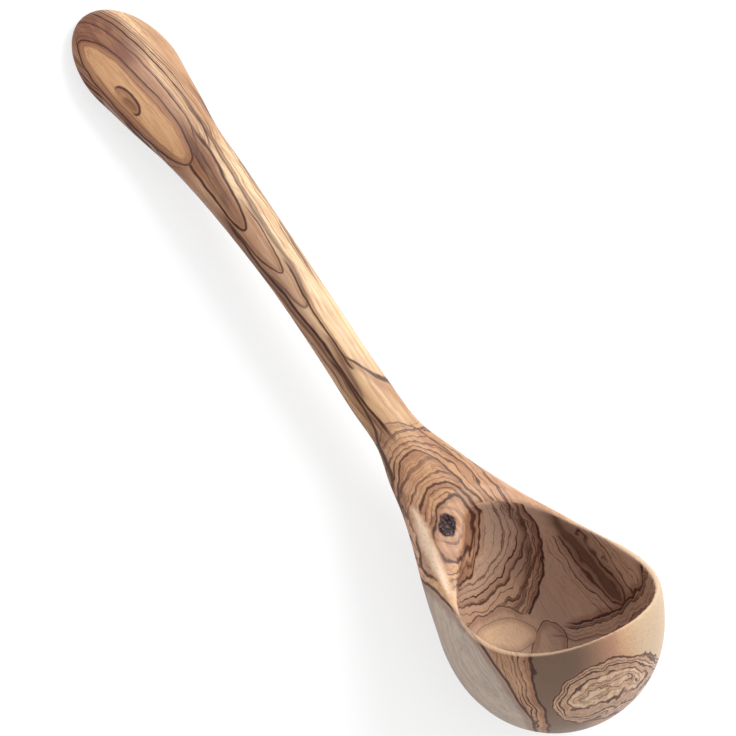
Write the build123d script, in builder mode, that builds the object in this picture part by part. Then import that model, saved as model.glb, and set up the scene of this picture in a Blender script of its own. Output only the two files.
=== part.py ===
from build123d import *
from math import cos, hypot, radians, sin, sqrt
import os

os.makedirs("parts", exist_ok=True)

# A soup ladle carved in one piece from a billet of wood. It lies as it rests on a table, on the
# back of its bowl and the underside of its grip. The origin is where the bowl touches the table,
# +X runs to the front of the bowl, +Y to the ladle's left and +Z up. Lengths are in millimetres.

# Bowl
bowl_radius = 38.3          # outside, at its widest
bowl_tilt = 36.3            # degrees that its mouth leans back when the ladle lies down
bowl_wall = 3.2             # wood between outside and inside, at the widest
bowl_floor = 5.0            # wood under the deepest place
wall_height = 33.0          # from the widest up to where the wall's curve would close
wall_fullness = 0.76        # how far that curve keeps to its box, as a share
hollow_height = 64.0        # the same height for the inside, whose curve is an ellipse
rim_height = 12.5           # lowest place of the rim above the widest
rim_sweep = 76.0            # radius of the rim's dip, seen from the side
rim_turn = 50.0             # degrees of the dip that are cut, to each side of its lowest place
hollow_back = 42.5          # from the bowl's middle to the last full section of the hollow

# Root, where the bowl draws in to the handle
root_length = 88.0          # along the spine, from the bowl's middle
neck_width = 17.4
neck_thickness = 13.0
neck_height = 19.9          # its middle above the table

# Handle and grip
neck_reach = 98.0           # from the bowl's middle to the neck, along the table
grip_reach = 249.8          # from the bowl's middle to the widest place of the grip
grip_width = 39.4
grip_thickness = 10.0
grip_length = 26.4          # from the widest place to the end
grip_droop = 7.9            # degrees that the grip slopes down to its end

overrun = 20.0              # how far every cut passes the wood
round_fullness = 0.5523     # fullness at which a curve is a quarter of an ellipse

# Stations behind the bowl's middle, where the underside is still the round of the bowl: place along
# the spine in root lengths, half width, rise and fullness from the neck's, 0, to the bowl's, 1.
back_shares = (
    (0.050, 0.993, 0.985, 1.00),
    (0.100, 0.972, 0.960, 1.00),
    (0.150, 0.938, 0.920, 1.00),
    (0.205, 0.892, 0.860, 1.00),
    (0.265, 0.836, 0.770, 0.95),
)
# Stations of the root behind those: the same, with the depth about the spine before the rise.
root_shares = (
    (0.336, 0.765, 0.535, 0.640, 0.80),
    (0.477, 0.610, 0.397, 0.270, 0.15),
    (0.619, 0.435, 0.290, 0.060, 0.00),
    (0.755, 0.280, 0.170, 0.020, 0.00),
    (0.880, 0.160, 0.090, 0.000, 0.00),
)
# Stations of the handle from the root to the grip: place, and width from the neck's to the grip's.
handle_shares = (
    (0.000, 0.095),
    (0.077, 0.035),
    (0.186, 0.000),
    (0.293, 0.000),
    (0.403, 0.018),
    (0.513, 0.088),
    (0.623, 0.182),
    (0.711, 0.290),
    (0.800, 0.442),
    (0.866, 0.664),
    (0.933, 0.845),
    (0.970, 0.955),
    (1.000, 1.000),
)
# Angles at which the grip's round end is cut into stations, as shares of a quarter turn.
end_shares = (0.14, 0.37, 0.57, 0.76, 0.92)
# Points of the spine: on the root, back and up from the bowl's middle in bowl radii, and along the
# handle, the share of the way from neck to grip and of the drop in height between them.
spine_root_shares = ((0.71, 0.24), (1.25, 0.553), (1.71, 0.765))
spine_handle_shares = ((0.34, 0.06), (0.67, 0.395))
# Sections of the hollow behind the bowl's middle: place to the last full one, half width to the
# right and to the left as shares of the inside's, and height of the widest line and of the bottom
# in bowl radii. The knife has left more wood at the right shoulder. The last section lies above the
# rim's line, so that the floor runs out there in a soft lip.
hollow_shares = (
    (0.19, 0.985, 0.985, 0.013, -0.847),
    (0.38, 0.895, 0.920, 0.053, -0.768),
    (0.565, 0.695, 0.805, 0.132, -0.605),
    (0.73, 0.455, 0.678, 0.237, -0.355),
    (0.87, 0.230, 0.494, 0.395, 0.000),
    (0.953, 0.125, 0.316, 0.526, 0.263),
    (1.0, 0.060, 0.150, 0.660, 0.500),
    (1.045, 0.030, 0.060, 0.810, 0.760),
)

inside_radius = bowl_radius - bowl_wall
inside_depth = bowl_radius - bowl_floor
forward = Vector(cos(radians(bowl_tilt)), 0, sin(radians(bowl_tilt)))
mouth = Vector(-sin(radians(bowl_tilt)), 0, cos(radians(bowl_tilt)))
bowl_middle = Vector(0, 0, bowl_radius)

# The ladle's plane of symmetry, with the bowl's own forward and up, and the plane across the bowl.
side = Plane(origin=bowl_middle, x_dir=forward, z_dir=(0, -1, 0))
across = Plane(origin=bowl_middle, x_dir=(0, -1, 0), z_dir=-forward)

# The rounded end of the grip is half an ellipsoid, and its lowest point touches the table.
grip_height = hypot(
    grip_length * sin(radians(grip_droop)), grip_thickness / 2 * cos(radians(grip_droop))
)


def between(low, high, share):
    """The size that lies a share of the way from low to high."""
    return low + (high - low) * share


def section(plane, half_width, depth, rise, full=0):
    """One section: half an ellipse below its widest line. The curve above is an ellipse too where
    full is 0, and as full as the bowl's wall where it is 1."""
    hold = between(round_fullness, wall_fullness, full)
    right = (half_width, 0), (half_width, rise * hold), (half_width * hold, rise), (0, rise)
    with BuildSketch(plane) as drawn:
        with BuildLine():
            Bezier(*right)
            Bezier(*[(-x, y) for x, y in reversed(right)])
            EllipticalCenterArc((0, 0), half_width, depth, 180, arc_size=90)
            EllipticalCenterArc((0, 0), half_width, depth, 270, arc_size=90)
        make_face()
    return drawn.sketch


# The spine runs from the bowl's middle, back through the root and along the handle.
with BuildLine() as spine_line:
    root_points = [
        bowl_middle + (mouth * up - forward * back) * bowl_radius for back, up in spine_root_shares
    ]
    handle_points = [
        (-between(neck_reach, grip_reach, place), 0, between(neck_height, grip_height, drop))
        for place, drop in spine_handle_shares
    ]
    spine = Spline(
        bowl_middle,
        *root_points,
        (-neck_reach, 0, neck_height),
        *handle_points,
        (-grip_reach, 0, grip_height),
        tangents=(-forward, (-cos(radians(grip_droop)), 0, -sin(radians(grip_droop)))),
    )


def station(distance):
    """The plane across the wood at a distance along the spine."""
    return Plane(
        origin=spine.position_at(distance, PositionMode.LENGTH),
        x_dir=(0, -1, 0),
        z_dir=spine.tangent_at(distance, PositionMode.LENGTH),
    )


def round_depth(plane):
    """How far the round of the bowl lies below the middle of a plane."""
    arm = bowl_middle - plane.origin
    below = -arm.dot(plane.y_dir)
    return below + sqrt(below**2 - arm.dot(arm) + bowl_radius**2)


# The wood behind the bowl's middle, to the end of the grip.
wood_sections = [section(across, bowl_radius, bowl_radius, wall_height, 1)]
for place, width, rise, full in back_shares:
    plane = station(place * root_length)
    half_width = between(neck_width / 2, bowl_radius, width)
    height = between(neck_thickness / 2, wall_height, rise)
    wood_sections.append(section(plane, half_width, round_depth(plane), height, full))
for place, width, drop, rise, full in root_shares:
    plane = station(place * root_length)
    half_width = between(neck_width / 2, bowl_radius, width)
    depth = between(neck_thickness / 2, bowl_radius, drop)
    height = between(neck_thickness / 2, wall_height, rise)
    wood_sections.append(section(plane, half_width, depth, height, full))
for place, width in handle_shares:
    plane = station(between(root_length, spine.length, place))
    half_width = between(neck_width, grip_width, width) / 2
    half_thick = between(neck_thickness, grip_thickness, place) / 2
    wood_sections.append(section(plane, half_width, half_thick, half_thick))
for share in end_shares:
    turn = radians(share * 90)
    plane = station(spine.length).offset(sin(turn) * grip_length)
    half_thick = cos(turn) * grip_thickness / 2
    wood_sections.append(section(plane, cos(turn) * grip_width / 2, half_thick, half_thick))
wood_sections.append(Vertex(*station(spine.length).offset(grip_length).origin))

# The hollow behind the bowl's middle, to the lip on the handle's side.
hollow_sections = [section(across, inside_radius, inside_depth, hollow_height)]
for place, right, left, widest, bottom in hollow_shares:
    plane = across.offset(place * hollow_back)
    plane.origin += mouth * widest * bowl_radius
    plane.origin += Vector(0, (left - right) / 2 * inside_radius, 0)
    half_width = (right + left) / 2 * inside_radius
    depth = (widest - bottom) * bowl_radius
    hollow_sections.append(section(plane, half_width, depth, hollow_height))


def turned(radius, depth, height, full):
    """The front half of a bowl: its profile is turned by half a round about the mouth's axis."""
    hold = between(round_fullness, wall_fullness, full)
    with BuildPart() as half:
        with BuildSketch(across):
            with BuildLine():
                EllipticalCenterArc((0, 0), radius, depth, 0, arc_size=-90)
                Bezier((radius, 0), (radius, height * hold), (radius * hold, height), (0, height))
                Line((0, height), (0, -depth))
            make_face()
        revolve(axis=Axis(bowl_middle, mouth), revolution_arc=180, clean=False)
    return half.part


# The outside is one skin: the turned front and the drawn back, without their flat faces between.
with BuildPart() as back:
    loft(wood_sections, clean=False)
front = turned(bowl_radius, bowl_radius, wall_height, 1)
skin = [face for face in front.faces() + back.faces() if face.geom_type != GeomType.PLANE]
blank = Solid(Shell(skin))

with BuildPart() as ladle:
    add(blank, clean=False)
    # The rim's line, seen from the side, is one wide arc.
    with BuildSketch(side):
        with BuildLine():
            dip = CenterArc((0, rim_height + rim_sweep), rim_sweep, -rim_turn - 90, 2 * rim_turn)
            top = wall_height + overrun
            Polyline(dip @ 0, ((dip @ 0).X, top), ((dip @ 1).X, top), dip @ 1)
        make_face()
    extrude(amount=bowl_radius + overrun, both=True, mode=Mode.SUBTRACT, clean=False)
    add(turned(inside_radius, inside_depth, hollow_height, 0), mode=Mode.SUBTRACT, clean=False)
    loft(hollow_sections, mode=Mode.SUBTRACT, clean=False)

ladle.part.label = "ladle"
export_step(ladle.part, "parts/ladle.step")
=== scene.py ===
import bpy
import numpy as np
from math import cos, radians, sin
from mathutils import Matrix, Quaternion, Vector, noise
from mathutils.bvhtree import BVHTree


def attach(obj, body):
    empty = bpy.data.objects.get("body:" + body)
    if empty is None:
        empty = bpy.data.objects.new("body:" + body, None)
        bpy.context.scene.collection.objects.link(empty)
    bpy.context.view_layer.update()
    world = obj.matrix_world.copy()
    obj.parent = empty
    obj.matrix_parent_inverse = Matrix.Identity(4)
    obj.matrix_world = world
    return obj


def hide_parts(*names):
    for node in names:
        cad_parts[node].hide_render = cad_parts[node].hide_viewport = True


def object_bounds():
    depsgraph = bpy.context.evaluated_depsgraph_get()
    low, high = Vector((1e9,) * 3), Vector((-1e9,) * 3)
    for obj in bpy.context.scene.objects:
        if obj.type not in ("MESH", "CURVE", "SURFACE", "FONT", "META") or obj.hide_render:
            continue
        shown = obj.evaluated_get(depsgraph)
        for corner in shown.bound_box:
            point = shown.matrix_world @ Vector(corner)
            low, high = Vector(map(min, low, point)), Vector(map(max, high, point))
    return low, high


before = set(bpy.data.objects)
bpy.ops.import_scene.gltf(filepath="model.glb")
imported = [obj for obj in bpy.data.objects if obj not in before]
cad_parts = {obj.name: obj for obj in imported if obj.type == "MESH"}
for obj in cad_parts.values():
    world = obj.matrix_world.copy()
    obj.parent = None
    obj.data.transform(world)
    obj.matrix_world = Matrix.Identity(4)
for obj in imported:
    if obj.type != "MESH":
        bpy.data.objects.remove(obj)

cad_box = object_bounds()
MM = 0.001

# Camera
# It looks steeply down on the ladle from its right, nearly two metres away, and is turned so that
# the handle runs up to the left and the bowl lies at the lower right.
bowl_radius = 38.3
bowl_tilt = radians(36.3)
bowl_middle = Vector((0, 0, bowl_radius * MM))
looks_from = Vector((0.0484, -0.5510, 0.8331)).normalized()
across_picture = Vector((0.5797, 0.6947, 0.4258)).normalized()
picture_roll = radians(2.2)
camera_distance = 1.810
focal_pixels = 5200
picture_pixels = 736
bowl_in_picture = (554.5, 623.0)

half = picture_pixels / 2
upright = Matrix((across_picture, looks_from.cross(across_picture), looks_from)).transposed()
rolled = upright.to_quaternion() @ Quaternion((0, 0, 1), picture_roll)
to_bowl = Vector((bowl_in_picture[0] - half, half - bowl_in_picture[1], -focal_pixels))
aside = Vector((0, 0, -1)).rotation_difference(to_bowl)
camera_data = bpy.data.cameras.new("camera")
camera_data.sensor_width = 36
camera_data.lens = camera_data.sensor_width * focal_pixels / picture_pixels
camera_data.clip_end = 20
camera = bpy.data.objects.new("camera", camera_data)
camera.rotation_mode = "QUATERNION"
camera.rotation_quaternion = rolled @ aside.inverted()
camera.location = bowl_middle + looks_from * camera_distance
bpy.context.scene.collection.objects.link(camera)
bpy.context.scene.camera = camera

# Ladle
# One billet of olive wood, sawn, hollowed with a hooked knife, rounded with a spokeshave and sanded.
# Its rim and the lip below the neck are eased by hand, and a dead knot shows on the neck. Lengths
# are in millimetres.
rim_height = 12.5           # lowest place of the rim above the bowl's middle, in the bowl's own up
rim_sweep = 76.0            # radius of the rim's dip, seen from the side
skin_step = 0.55            # spacing of the points of the carved skin
all_strokes = 3             # passes of the sanding over the whole ladle
easing = 1.6                # how far from the rim's flat the sanding has rounded the wood
rim_strokes = 10            # passes there
lip_strokes = 14            # passes over the soft lip, where the hollow runs up into the neck
lip_reach = 12.0
lip_ends = (-33, -24)       # the lip fades out between these places, seen along the bowl


def in_bowl(points):
    """Points in the bowl's own frame: forward, left and up out of its mouth, from its middle."""
    x, y, z = points[:, 0], points[:, 1], points[:, 2] - bowl_radius
    turn, rise = cos(bowl_tilt), sin(bowl_tilt)
    return x * turn + z * rise, y, z * turn - x * rise


def fade(value, low, high):
    """1 below low, 0 above high, and smooth between."""
    t = np.clip((high - value) / (high - low), 0, 1)
    return t * t * (3 - 2 * t)


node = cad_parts["ladle"]
blank = node.data.copy()
blank.transform(node.matrix_world)
ladle = bpy.data.objects.new("ladle_of_olive_wood", blank)
bpy.context.scene.collection.objects.link(ladle)
skin = ladle.modifiers.new("even skin", "REMESH")
skin.mode = "VOXEL"
skin.voxel_size = skin_step * MM
bpy.context.view_layer.update()
drawn = ladle.evaluated_get(bpy.context.evaluated_depsgraph_get())
carved = bpy.data.meshes.new_from_object(drawn)
ladle.modifiers.clear()
ladle.data = carved

points = np.empty(len(carved.vertices) * 3)
carved.vertices.foreach_get("co", points)
points = points.reshape(-1, 3) / MM
edges = np.empty(len(carved.edges) * 2, dtype=int)
carved.edges.foreach_get("vertices", edges)
edges = edges.reshape(-1, 2)
neighbours = np.bincount(edges.ravel(), minlength=len(points))[:, None]


def sand(points, strength, passes):
    """Moves each point towards the middle of its neighbours, by its own strength, in passes."""
    for _ in range(passes):
        total = np.zeros_like(points)
        for axis in range(3):
            total[:, axis] = np.bincount(edges[:, 0], points[edges[:, 1], axis], len(points))
            total[:, axis] += np.bincount(edges[:, 1], points[edges[:, 0], axis], len(points))
        points = points + (total / neighbours - points) * strength[:, None] * 0.5
    return points


forward, left, up = in_bowl(points)
off_rim = np.abs(np.hypot(forward, up - rim_height - rim_sweep) - rim_sweep)
points = sand(points, np.full(len(points), 0.6), all_strokes)
points = sand(points, fade(off_rim, 0.6 * easing, easing), rim_strokes)
near_lip = fade(off_rim, 0.5 * lip_reach, lip_reach) * fade(forward, *lip_ends)
points = sand(points, near_lip, lip_strokes)

# The dead knot has shrunk and crumbled: pits of about 2 mm, up to a millimetre deep. They fade out
# over the outer two fifths of the knot.
knot_middle = Vector((-48.6, -12.0, 33.7))
knot_size = 5.2
pit_size = 1.7
pit_depth = 1.3
pit_spread = 0.25
pit_edge = 2.5
from_knot = points - np.array(knot_middle)
for number in np.flatnonzero(np.linalg.norm(from_knot, axis=1) < knot_size):
    crumb = Vector(points[number])
    pit = max(noise.noise(crumb / pit_size) + pit_spread, 0) * pit_depth
    pit *= min(1.0, pit_edge * (1 - (crumb - knot_middle).length / knot_size))
    points[number][2] -= pit

low, high = (np.array(corner) / MM for corner in cad_box)
points = np.clip(points, low, high)
carved.vertices.foreach_set("co", (points * MM).ravel())
carved.polygons.foreach_set("use_smooth", np.ones(len(carved.polygons), dtype=bool))
carved.update()

# Olive wood, planed, sanded and rubbed with oil. It is dense and fine, honey to brown, with thin
# near-black growth lines that close in long rings round each buried branch. The oil deepens the
# browns and gives a soft satin gloss.
right_of_picture = rolled @ Vector((1, 0, 0))
down_picture = rolled @ Vector((0, -1, 0))
into_wood = rolled @ Vector((0, 0, -1))
pixels_per_mm = focal_pixels * MM / camera_distance
surface = BVHTree.FromPolygons(
    [Vector(p) for p in points * MM], [tuple(face.vertices) for face in carved.polygons]
)
beside_level = 20 * MM      # height of a ring's middle that lies beside the wood


def spot(across, down):
    """The place on the wood that shows at a pixel of the picture, in millimetres."""
    ray = Vector((across - half, half - down, -focal_pixels)).normalized()
    ray = camera.rotation_quaternion @ ray
    place = surface.ray_cast(camera.location, ray)[0]
    if place is None:
        place = camera.location + ray * ((beside_level - camera.location.z) / ray.z)
    return place / MM


def tone(code):
    """An sRGB hex colour as linear values."""
    parts = [int(code[i:i + 2], 16) / 255 for i in (1, 3, 5)]
    return [p / 12.92 if p <= 0.04045 else ((p + 0.055) / 1.055) ** 2.4 for p in parts] + [1.0]


wood = bpy.data.materials.new("oiled_olive_wood")
wood.use_nodes = True
wood.node_tree.nodes.clear()


def add(kind, links=None, tree=None, out=0, **settings):
    """Adds a node with its settings, and its inputs by name or number: a value or another output."""
    tree = tree or wood.node_tree
    made = tree.nodes.new("ShaderNode" + kind)
    for name, value in settings.items():
        setattr(made, name, value)
    for name, value in (links or {}).items():
        if isinstance(value, bpy.types.NodeSocket):
            tree.links.new(value, made.inputs[name])
        else:
            made.inputs[name].default_value = value
    return made.outputs[out] if made.outputs else made


place = add("TexCoord", out="Object")
place = add("VectorMath", {0: place, "Scale": 1 / MM}, operation="SCALE")


def wandering(start, size, sway, seed):
    """The wood's own places after its grain has swayed: how far, and over what size across."""
    rate = (0.5 / size, 1 / size, 1 / size)
    swayed = add("VectorMath", {0: place, 1: rate}, operation="MULTIPLY")
    swayed = add("VectorMath", {0: swayed, 1: (seed, 0, 0)}, operation="ADD")
    swayed = add("TexNoise", {"Vector": swayed, "Scale": 1.0, "Detail": 2.0}, out="Color")
    swayed = add("VectorMath", {0: swayed, 1: (0.5, 0.5, 0.5)}, operation="SUBTRACT")
    swayed = add("VectorMath", {0: swayed, "Scale": 2 * sway}, operation="SCALE")
    return add("VectorMath", {0: start, 1: swayed}, operation="ADD")


# On the handle the grain sways over 16 mm, with small jags over 5 mm. Round the knot it is wilder,
# with more over 7 mm and over 2.4 mm.
calm = wandering(wandering(place, 16.0, 2.0, 3.1), 5.0, 0.7, 8.4)
wild = wandering(wandering(calm, 7.0, 2.6, 5.2), 2.4, 0.6, 6.6)


def apart(start, end):
    """The way from one pixel to another, in millimetres on a plane that faces the camera."""
    across, down = (end[0] - start[0]) / pixels_per_mm, (end[1] - start[1]) / pixels_per_mm
    return right_of_picture * across + down_picture * down


def ring(middle, tip, half_width, grain=calm, at=None):
    """How far the wood lies outside the long ring round a buried branch, in millimetres. The branch
    shows at the pixel middle, and the ring ends at the pixel tip and is half_width pixels wide. A
    ring whose middle is beside the wood is placed from the pixel at, on the wood."""
    at = at or middle
    along = apart(middle, tip)
    length = along.length
    along = along / length
    square = Matrix((along, into_wood.cross(along), into_wood)).transposed()
    sizes = (length, half_width / pixels_per_mm, 1e4)
    heart = spot(*at) + apart(at, middle)
    turns = add(
        "Mapping",
        {"Vector": grain, "Location": heart, "Rotation": square.to_euler(), "Scale": sizes},
        vector_type="TEXTURE",
    )
    slope = add("VectorMath", {0: turns, 1: sizes}, operation="DIVIDE")
    slope = add("VectorMath", {0: slope}, operation="LENGTH", out="Value")
    turns = add("VectorMath", {0: turns}, operation="LENGTH", out="Value")
    outward = add("Math", {0: turns, 1: 1.0}, operation="SUBTRACT")
    outward = add("Math", {0: outward, 1: turns}, operation="MULTIPLY")
    return add("Math", {0: outward, 1: slope}, operation="DIVIDE")


def beside(start, end):
    """How far the wood lies to one side of the straight line between two pixels, in millimetres.
    Where the line runs down the picture, the side that counts up is the right one."""
    aside = apart(start, end).normalized().cross(into_wood)
    across = add("VectorMath", {0: calm, 1: aside}, operation="DOT_PRODUCT", out="Value")
    return add("Math", {0: across, 1: aside.dot(spot(*start))}, operation="SUBTRACT")


def share(*limits):
    """How strongly something shows. Each limit is a share of its own, or a distance with the two
    places between which it changes, and its share before and after them."""
    total = 1.0
    for limit in limits:
        if isinstance(limit, tuple):
            distance, near, far, before, after = limit
            limit = add(
                "MapRange",
                {"Value": distance, 1: near, 2: far, 3: before, 4: after},
                interpolation_type="SMOOTHSTEP",
            )
        total = add("Math", {0: total, 1: limit}, operation="MULTIPLY")
    return total


def inside(off, soft=0.6):
    """The limit that keeps something inside a ring."""
    return off, -soft, 0.1, 1.0, 0.0


def beyond(off, soft=0.6):
    """The limit that keeps something outside a ring."""
    return off, -0.1, soft, 0.0, 1.0


# Rings and edges of the grip, each named for what it is on the ladle.
grip_oval = ring((135, 101), (192, 165), 20)
grip_middle = ring((130, 94), (190, 163), 27)
grip_bud = ring((127, 102), (138, 116), 6)
bud_heart = ring((129, 105), (135, 112), 2.5)
bud_side = beside((118, 92), (138, 122))
grip_end = ring((98, 34), (128, 58), 13)
left_edge = beside((107, 105), (224, 225))
right_edge = beside((170, 45), (382, 375))

# Those of the handle: three tongues, one below the other, and the lines at both sides, which meet in
# a fork above the neck.
first_tongue = ring((203, 163), (248, 232), 11)
second_tongue = ring((225, 196), (284, 275), 12)
third_tongue = ring((245, 222), (309, 308), 14)
left_low = beside((198, 182), (374, 412))
long_right = ring((290, 250), (356, 370), 9)
long_middle = beside((290, 250), (356, 370))
fork_heart = ring((346, 366), (364, 394), 3)
fork_left = ring((146, 528), (146, 279), 249.5, at=(368, 420))
fork_right = ring((303, 479), (303, 350), 128, at=(378, 376))

# Those of the neck, round the knot.
neck_tongue = ring((450, 510), (384, 425), 40, wild)
neck_ring = ring((447, 520), (405, 455), 36, wild)
neck_side = beside((395, 440), (430, 560))
knot_heart = ring((446.5, 526), (446.5, 539), 10.5, wild)
knot_inner = ring((452, 528), (450, 562), 19, wild)
knot_outer = ring((447, 533), (450, 586), 31, wild)
pale_shoulder = ring((430, 550), (449, 594), 5)

# Those in the hollow: the knot's arcs, the pale floor, and the streaks of the front wall.
near_arc = ring((447, 535), (447, 610), 75, wild)
far_arc = ring((449, 562), (449, 655), 93, wild)
low_arcs = beside((440, 600), (540, 560))
dark_patch = ring((531, 591), (541, 604), 11, wild)
pale_zone = ring((505, 652), (552, 652), 43, wild)
pale_floor = ring((508, 636), (538, 636), 17)
floor_hump = ring((550, 655), (550, 622), 17, wild)
front_foot = beside((545, 645), (655, 540))
front_line = ring((580, 575), (643, 568), 47, wild)
wall_streak = ring((586, 556), (624, 606), 11, wild)

# Those outside the bowl: a grey panel, a bundle of lines, a dull band, and loops on the front.
side_line = ring((87, 952), (87, 452), 500, at=(510, 690))
side_bundle = ring((50, 792), (50, 292), 500, wild, at=(540, 690))
front_rings = ring((607, 688), (652, 669), 20, wild)
front_outer = ring((610, 688), (664, 666), 28, wild)
band_side = beside((600, 600), (600, 720))
cream_side = beside((615, 600), (625, 720))

# The hollow is the skin that looks towards a place above the bowl's middle, behind it.
hollow_focus = (-10.0, 0, 20.0)
from_focus = add("VectorMath", {0: place, 1: hollow_focus}, operation="SUBTRACT")
from_focus = add("VectorMath", {0: from_focus}, operation="NORMALIZE")
skin_faces = add("TexCoord", out="Normal")
outward = add("VectorMath", {0: skin_faces, 1: from_focus}, operation="DOT_PRODUCT", out="Value")
hollow = share((outward, -0.12, 0.05, 1.0, 0.0))
outside = add("Math", {0: 1.0, 1: hollow}, operation="SUBTRACT")

# Which ring lies over which. Reach is the distance along the ladle, from the grip at -276 to the
# front of the bowl at 38.
reach = add("SeparateXYZ", {0: place})
behind = share((reach, -92.0, -80.0, 1.0, 0.0))
grip_part = share((reach, -186.0, -174.0, 1.0, 0.0))
grip_lines = share((reach, -216.0, -204.0, 1.0, 0.0))
past_grip = share((reach, -225.0, -212.0, 0.0, 1.0))
shaft_part = share(behind, (reach, -190.0, -178.0, 0.0, 1.0))
lower_part = share(behind, (reach, -165.0, -155.0, 0.0, 1.0))
back_only = share(outside, (reach, -98.0, -86.0, 0.0, 1.0), (reach, -40.0, -34.0, 1.0, 0.0))
flank_part = share((reach, -62.0, -52.0, 0.0, 1.0))
bowl_part = share((reach, -28.0, -18.0, 0.0, 1.0))
knot_zone = share(hollow, inside(far_arc), beyond(pale_zone))
floor_zone = share(hollow, inside(pale_zone))
wall_zone = share(hollow, beyond(far_arc), beyond(pale_zone))
front_zone = share(wall_zone, (front_foot, -2.0, 2.0, 1.0, 0.0))
panel = share(outside, flank_part, inside(side_line))
bundle = share(outside, bowl_part, beyond(side_line), inside(side_bundle))
loops = share(outside, bowl_part, inside(front_outer))
band = share(outside, bowl_part, beyond(side_bundle), beyond(front_outer))

# Broad colour: honey and tan clouds about 70 mm long and 14 mm across, and streaks in them of 50 by
# 2 mm, all drawn out along the billet. The rates are per millimetre.
cloud_rate = (0.014, 0.07, 0.07)
streak_rate = (0.02, 0.55, 0.55)
cloud = add("VectorMath", {0: calm, 1: cloud_rate}, operation="MULTIPLY")
cloud = add("TexNoise", {"Vector": cloud, "Scale": 1.0, "Detail": 3.0})
cloud = share((cloud, 0.35, 0.65, 0.0, 1.0))
streak = add("VectorMath", {0: calm, 1: streak_rate}, operation="MULTIPLY")
streak = add("TexNoise", {"Vector": streak, "Scale": 1.0, "Detail": 4.0})
colour = add("MixRGB", {0: cloud, 1: tone("#D0A178"), 2: tone("#B4876B")})


def tint(code, *limits):
    """Lays a colour over the wood, as strongly as its limits let it show."""
    global colour
    colour = add("MixRGB", {0: share(*limits), 1: colour, 2: tone(code)})


# The handle is creamy, and mauve brown along its left. Both are partly the wood's own tone and
# partly painted light: the cream stands partly for the lit right flank, and the mauve partly for
# painted shade on the left flank. The grip's end is the darkest part of it.
tint("#E9C79C", behind, (right_edge, 0.0, 8.0, 0.85, 0.0))
tint("#A67B68", (reach, -125.0, -105.0, 1.0, 0.0), (right_edge, -13.0, -6.0, 0.6, 0.0))
tint("#5A3226", behind, (grip_end, -1.0, 7.0, 0.9, 0.0))
tint("#80503E", behind, (grip_oval, 1.0, 9.0, 0.6, 0.0))
tint("#C4966A", behind, (grip_oval, -3.0, 0.5, 0.8, 0.0))
tint("#7A5038", behind, (grip_bud, -1.0, 0.5, 0.45, 0.0))
tint("#4A2A1E", behind, (bud_heart, -0.5, 0.5, 0.8, 0.0))
tongue_start = (reach, -232.0, -212.0, 0.0, 1.0)
tint("#573728", behind, beyond(grip_oval), (first_tongue, -3.0, 0.3, 0.85, 0.0), tongue_start)
# Partly painted shade: a dark band along the grip's left edge, for its shaded underside, beside the
# grain line there.
tint("#7E5748", grip_part, (left_edge, 0.5, 4.0, 0.7, 0.0))
tint("#A57E6C", shaft_part, (third_tongue, -4.0, 0.5, 0.35, 0.0))
# Partly painted shade: a dark band along the shaft's left edge, for its shaded underside, beside the
# grain line there.
tint("#8A6254", shaft_part, (left_low, 0.3, 3.5, 0.3, 0.0))
tint("#9E6A45", (reach, -222.0, -200.0, 1.0, 0.0), (right_edge, -9.0, -3.0, 0.0, 0.65))

# The neck is tan, and rosy at its left. Above it the fork is dark.
tint("#D6AD98", back_only, (neck_side, -1.0, 6.0, 0.6, 0.0))
tint("#B08358", (reach, -122.0, -98.0, 0.0, 1.0), (reach, -70.0, -45.0, 1.0, 0.0), 0.5)
tint("#552C1E", (fork_heart, -1.0, 1.5, 0.8, 0.0))

# Outside the bowl the figure is greyer on the near flank and cream towards the right. This is partly
# the wood's own tone, partly painted shade on the grey flank and painted light on the cream side.
tint("#B1A79D", panel, 0.8)
tint("#665145", band, (band_side, -10.0, 8.0, 0.9, 0.0))
tint("#C0AA8D", band, (cream_side, -4.0, 8.0, 0.0, 0.8))
tint("#DDC3A8", loops, 0.6)
tint("#867260", bundle, 0.3)
dull_part = add("Math", {0: band, 1: panel}, operation="MAXIMUM")
plain_part = add("Math", {0: 1.0, 1: dull_part}, operation="SUBTRACT")
tint("#9E7150", plain_part, (streak, 0.42, 0.62, 0.0, 0.45))
tint("#8E8074", panel, (streak, 0.42, 0.62, 0.0, 0.4))

# The hollow is darker and greyer: painted shade for the room's light that the bowl's walls shut out,
# laid over the wood's own tones.
tint("#B39B8D", hollow, (knot_outer, -4.0, 5.0, 0.1, 0.7))
# Painted shade on the hollow's back wall, below the lip.
tint("#6A4636", knot_zone, (near_arc, -4.0, 4.0, 0.0, 0.42))
tint("#4A2C1C", knot_zone, (dark_patch, -2.5, 1.5, 0.75, 0.0))
tint("#D2AC90", knot_zone, (low_arcs, -6.0, 4.0, 0.6, 0.0))
tint("#4C2D1D", wall_zone, (wall_streak, -4.0, 4.0, 0.85, 0.0))
# The floor of the hollow is paler. This is partly the wood's tone and partly painted light, where
# the floor faces up to the room.
tint("#C9A587", floor_zone, 0.4)
tint("#E2C09D", floor_zone, (pale_floor, -2.0, 0.3, 0.8, 0.0))
tint("#EBCFB4", (pale_shoulder, -1.5, 1.0, 0.85, 0.0))

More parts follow.
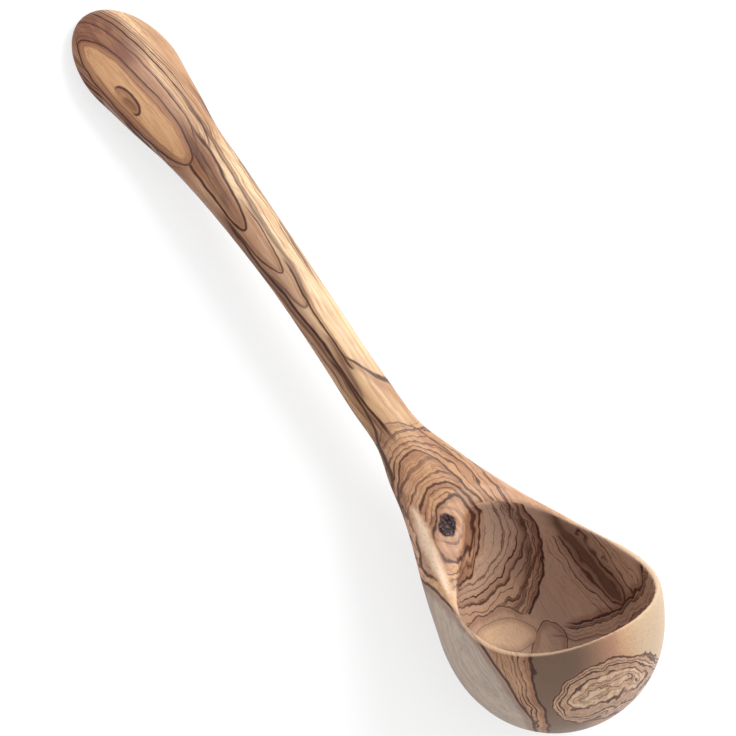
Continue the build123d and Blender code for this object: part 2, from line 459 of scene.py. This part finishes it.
# Dark growth lines: the named rings themselves, each with half its line's width, its darkness and
# its limits. On its inner side lies a soft brown shade.
shade_middle = 1.2
shade_width = 1.8
lines = 0.0
shade = 0.0
for off, width, dark, *limits in (
    (grip_oval, 0.5, 0.9, behind),
    (grip_bud, 0.7, 0.95, behind, (bud_side, -0.8, 0.8, 0.0, 1.0)),
    (first_tongue, 0.7, 0.95, behind, beyond(grip_oval), past_grip),
    (second_tongue, 0.45, 0.85, shaft_part),
    (third_tongue, 0.9, 0.6, shaft_part),
    (long_right, 0.6, 0.95, lower_part, (long_middle, -0.8, 0.8, 1.0, 0.0)),
    (left_low, 0.8, 0.95, shaft_part),
    (fork_right, 0.7, 0.9, (reach, -122.0, -116.0, 0.0, 1.0), (reach, -95.0, -86.0, 1.0, 0.0)),
    (fork_left, 0.8, 0.9, (reach, -125.0, -118.0, 0.0, 1.0), (reach, -75.0, -62.0, 1.0, 0.0)),
    (neck_tongue, 0.5, 0.7, back_only),
    (neck_ring, 0.6, 0.85, back_only, inside(neck_tongue)),
    (knot_inner, 0.9, 0.9),
    (knot_outer, 0.7, 0.9),
    (near_arc, 0.6, 0.7, knot_zone),
    (far_arc, 0.8, 0.95, hollow, beyond(pale_zone)),
    (pale_zone, 0.5, 0.7, hollow, inside(far_arc, 3.0)),
    (pale_floor, 0.3, 0.4, floor_zone),
    (floor_hump, 0.4, 0.8, hollow, beyond(pale_floor)),
    (front_line, 0.8, 0.95, front_zone),
    (front_rings, 0.5, 0.85, loops),
    (front_outer, 0.5, 0.85, outside, beyond(side_bundle)),
    (side_line, 0.7, 0.9, outside, flank_part),
    (side_bundle, 0.8, 0.95, outside, bowl_part),
):
    shows = share(*limits)
    away = add("Math", {0: off}, operation="ABSOLUTE")
    line = share((away, width * 0.3, width, dark, 0.0), shows)
    lines = add("Math", {0: lines, 1: line}, operation="MAXIMUM")
    away = add("Math", {0: off, 1: shade_middle}, operation="ADD")
    away = add("Math", {0: away}, operation="ABSOLUTE")
    soft = share((away, 0.0, shade_width, dark * 0.5, 0.0), shows)
    shade = add("Math", {0: shade, 1: soft}, operation="MAXIMUM")

# Year lines of uneven spacing beside the rings: their mean spacing, a seed, the distances from the
# ring between which they fade out, their darkness and their limits. They come and go in patches
# about 33 mm long and 7 mm across.
patch_rate = (0.03, 0.14, 0.14)
patchy = add("VectorMath", {0: wild, 1: patch_rate}, operation="MULTIPLY")
patchy = add("TexNoise", {"Vector": patchy, "Scale": 1.0, "Detail": 1.0})
patchy = share((patchy, 0.35, 0.55, 0.55, 1.0))
upper_handle = share((reach, -160.0, -138.0, 1.0, 0.0), (reach, -243.0, -222.0, 0.0, 0.8))
for off, spacing, seed, near, far, dark, *limits in (
    (neck_ring, 2.0, 2, 8.0, 13.0, 0.9, back_only, beyond(knot_outer), beyond(neck_ring)),
    (knot_outer, 1.7, 4, 8.0, 14.0, 0.9, back_only, beyond(knot_outer), inside(neck_ring)),
    (knot_outer, 2.0, 5, 5.0, 7.0, 0.8, inside(knot_outer), beyond(knot_inner)),
    (near_arc, 2.6, 4, 9.0, 16.0, 0.9, knot_zone),
    (knot_heart, 1.2, 7, 2.0, 5.0, 0.7),
    (far_arc, 2.6, 11, 3.0, 9.0, 0.8, knot_zone),
    (front_rings, 2.4, 23, 6.0, 11.0, 0.9, loops),
    (side_bundle, 1.6, 31, 8.0, 14.0, 1.0, bundle),
    (grip_middle, 1.7, 43, 8.0, 17.0, 0.95, grip_lines, beyond(grip_oval), inside(right_edge, 7.0)),
    (right_edge, 2.1, 57, 7.0, 12.0, 0.9, upper_handle, beyond(grip_middle)),
    (grip_oval, 2.4, 83, 6.0, 12.0, 0.6, behind, inside(grip_oval)),
    (left_edge, 1.2, 59, 2.0, 6.0, 0.9, grip_lines, beyond(grip_oval)),
    (left_low, 1.6, 60, 5.0, 9.0, 0.7, shaft_part, inside(left_low)),
    (front_line, 1.5, 61, 5.0, 9.0, 0.8, front_zone, beyond(front_line)),
    (wall_streak, 1.3, 67, 3.0, 8.0, 0.8, wall_zone, inside(front_line)),
    (first_tongue, 1.5, 71, 3.0, 5.0, 0.7, past_grip, beyond(grip_oval), inside(first_tongue)),
):
    away = add("Math", {0: off}, operation="ABSOLUTE")
    shows = share(patchy, (away, near, far, 1.0, 0.0), *limits)
    count = add("Math", {0: off, 1: 1 / spacing, 2: seed}, operation="MULTIPLY_ADD")
    uneven = add("TexNoise", {"W": count, "Scale": 1.0, "Detail": 1.5}, noise_dimensions="1D")
    uneven = add("Math", {0: uneven, 1: 0.5}, operation="SUBTRACT")
    uneven = add("Math", {0: uneven}, operation="ABSOLUTE")
    line = share((uneven, 0.005, 0.035, dark, 0.0), shows)
    lines = add("Math", {0: lines, 1: line}, operation="MAXIMUM")
    soft = share((uneven, 0.0, 0.08, dark * 0.5, 0.0), shows)
    shade = add("Math", {0: shade, 1: soft}, operation="MAXIMUM")
tint("#7A4028", shade, beyond(pale_shoulder, 1.5))
tint("#341006", lines, beyond(pale_shoulder, 1.5))

# The dead knot is nearly black and quite dull, with paler crumbs of about a millimetre.
knot_core = share((knot_heart, -0.6, 0.3, 0.97, 0.0))
crumbs = add("TexNoise", {"Vector": place, "Scale": 1.1, "Detail": 2.0})
tint("#1E1218", knot_core)
tint("#7D6470", knot_core, (crumbs, 0.54, 0.62, 0.0, 0.6))

# The rim is paler than the rest, in a narrow band.
mouth = Vector((-sin(bowl_tilt), 0, cos(bowl_tilt)))
sweep_middle = bowl_middle / MM + mouth * (rim_height + rim_sweep)
off_sweep = add("VectorMath", {0: place, 1: sweep_middle}, operation="SUBTRACT")
off_sweep = add("VectorMath", {0: off_sweep, 1: (1, 0, 1)}, operation="MULTIPLY")
off_sweep = add("VectorMath", {0: off_sweep}, operation="LENGTH", out="Value")
off_sweep = add("Math", {0: off_sweep, 1: rim_sweep}, operation="SUBTRACT")
off_sweep = add("Math", {0: off_sweep}, operation="ABSOLUTE")
tint("#E4C3A2", (reach, -34.0, -26.0, 0.0, 1.0), (off_sweep, 0.2, 0.7, 0.4, 0.0))

# Fibres and pores along the billet, 8 mm long. Real pores are a tenth of a millimetre across and
# don't show from here, so they are drawn 0.4 mm across. The rate is per millimetre.
fibre_rate = (0.12, 2.4, 2.4)
fibre_depth = 0.06
fibre = add("VectorMath", {0: calm, 1: fibre_rate}, operation="MULTIPLY")
fibre = add("TexNoise", {"Vector": fibre, "Scale": 1.0, "Detail": 2.0})
tint("#74503B", (fibre, 0.45, 0.75, 0.0, 0.28))
rough = share((fibre, 0.3, 0.7, 0.38, 0.52))
shine = share((knot_core, 0.0, 1.0, 0.32, 0.1))
bump = add("Bump", {"Height": fibre, "Strength": 0.5, "Distance": fibre_depth * MM})
gloss = {"Roughness": rough, "IOR": 1.47, "Specular IOR Level": shine, "Normal": bump}
finish = add("BsdfPrincipled", {"Base Color": colour, **gloss})
add("OutputMaterial", {"Surface": finish})
carved.materials.clear()
carved.materials.append(wood)

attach(ladle, "root")
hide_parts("ladle")

# Table and light
# A plain white sheet under the ladle, a broad soft window above on the right, and an even room.
sheet_size = 6.0
burn = 0.75                 # share of plain white in the sheet as it is seen
sheet = bpy.data.meshes.new("white_sheet")
corner = sheet_size / 2
sheet.from_pydata(
    [(-corner, -corner, 0), (corner, -corner, 0), (corner, corner, 0), (-corner, corner, 0)],
    [],
    [(0, 1, 2, 3)],
)
table = bpy.data.objects.new("white_sheet", sheet)
bpy.context.scene.collection.objects.link(table)

# Matt white paper. Seen directly it is nearly burnt out to white, and keeps a quarter of the
# ladle's shadow.
paper = bpy.data.materials.new("matt_white_paper")
paper.use_nodes = True
paper.node_tree.nodes.clear()
seen = add("LightPath", tree=paper.node_tree, out="Is Camera Ray")
burnt = add("Math", {0: seen, 1: burn}, paper.node_tree, operation="MULTIPLY")
matt = add("BsdfDiffuse", {"Color": tone("#F7F7F7")}, paper.node_tree)
white = add("Emission", {"Strength": 1.0}, paper.node_tree)
mixed = add("MixShader", {0: burnt, 1: matt, 2: white}, paper.node_tree)
add("OutputMaterial", {"Surface": mixed}, paper.node_tree)
sheet.materials.append(paper)

# The room is bright on the ladle's left, where the windows are, and half as bright on its right.
bright_side = (0.25, 0.97, 0.0)
dim_level = 0.75
bright_level = 1.35
bpy.context.scene.view_settings.view_transform = "Standard"
room = bpy.data.worlds.new("even_room")
bpy.context.scene.world = room
room.use_nodes = True
rays = room.node_tree
rays.nodes.clear()
level = add("TexCoord", tree=rays, out="Generated")
level = add("VectorMath", {0: level, 1: bright_side}, rays, operation="DOT_PRODUCT", out="Value")
level = add("MapRange", {"Value": level, 1: -1.0, 2: 1.0, 3: dim_level, 4: bright_level}, rays)
glow = add("Background", {"Strength": level}, rays)
add("OutputWorld", {"Surface": glow}, rays)

window_data = bpy.data.lights.new("window", "AREA")
window_data.energy = 17
window_data.size = 0.7
window = bpy.data.objects.new("window", window_data)
bpy.context.scene.collection.objects.link(window)
window.location = (-0.35, 0.9, 1.1)
lit_place = Vector((-0.1, 0, 0))
window.rotation_euler = (window.location - lit_place).to_track_quat("Z", "Y").to_euler()
